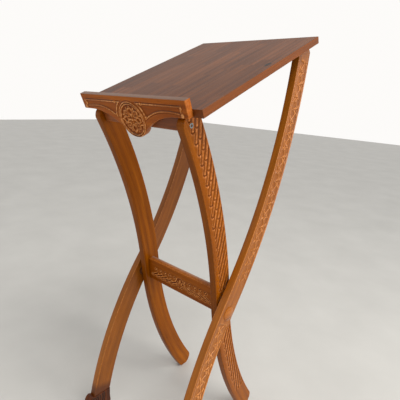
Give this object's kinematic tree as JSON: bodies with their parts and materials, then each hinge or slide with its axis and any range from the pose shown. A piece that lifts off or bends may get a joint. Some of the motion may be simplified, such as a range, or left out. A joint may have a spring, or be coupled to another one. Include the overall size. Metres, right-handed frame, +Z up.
{
  "type": "folding lectern",
  "caption": "Folding carved wooden reading stand: two crossed frames of S-curved legs carry a sloped desk with a carved ledge and round boss.",
  "frame": {"origin": "on the floor, at the middle of the bounding box", "axes": "+X to the reader's right, +Y away from the reader, +Z up"},
  "size_m": [0.422, 0.5351, 1.2343],
  "materials": {
    "frame_wood": "semi-gloss honey-orange lacquer",
    "desk_wood": "semi-gloss lacquer over brown stain",
    "ledge_wood": "semi-gloss honey-orange lacquer, darker in the carving",
    "under_wood": "satin lacquer",
    "foot_wood": "dark stain under lacquer",
    "dowel_wood": "bare",
    "bolt_steel": "zinc plated",
    "screw_steel": "zinc plated",
    "insert_brass": "plain",
    "spacer_plastic": "plain dark nylon",
    "felt": "felt"
  },
  "bodies": {
    "inner_frame": {"inner_leg_left": "frame_wood", "inner_leg_right": "frame_wood", "stretcher": "frame_wood", "stretcher_dowels": "dowel_wood", "pivot_inserts": "insert_brass", "pivot_bolt_left": "bolt_steel", "pivot_bolt_right": "bolt_steel", "pivot_spacers": "spacer_plastic", "pivot_washers": "bolt_steel"},
    "outer_frame": {"outer_leg_left": "frame_wood", "outer_leg_right": "frame_wood", "top_rail": "frame_wood", "rail_dowels": "dowel_wood", "rest_pads": "felt", "paw_foot_left": "foot_wood", "paw_foot_right": "foot_wood", "foot_dowels": "dowel_wood", "pivot_cap_left": "frame_wood", "pivot_cap_right": "frame_wood"},
    "desk": {"desk_board": "desk_wood", "ledge": "ledge_wood", "ledge_dowels": "dowel_wood", "hinge_batten": "under_wood", "batten_screws": "screw_steel", "hinge_inserts": "insert_brass", "hinge_bolt_left": "bolt_steel", "hinge_bolt_right": "bolt_steel", "hinge_washers": "bolt_steel", "stop_cleat_left": "under_wood", "stop_cleat_right": "under_wood", "cleat_screws": "screw_steel"}
  },
  "joints": [
    {"name": "fold", "type": "hinge", "parent": "inner_frame", "child": "outer_frame", "pos_m": [0, -0.03245, 0.4796], "axis": [1, 0, 0], "range_deg": [0, 36]},
    {"name": "desk_tilt", "type": "hinge", "parent": "inner_frame", "child": "desk", "pos_m": [0, -0.19089, 0.99283], "axis": [1, 0, 0], "range_deg": [0, 94]}
  ],
  "couplings": [
    {"joint": "desk_tilt", "follows": "fold", "ratio": 2.6}
  ]
}
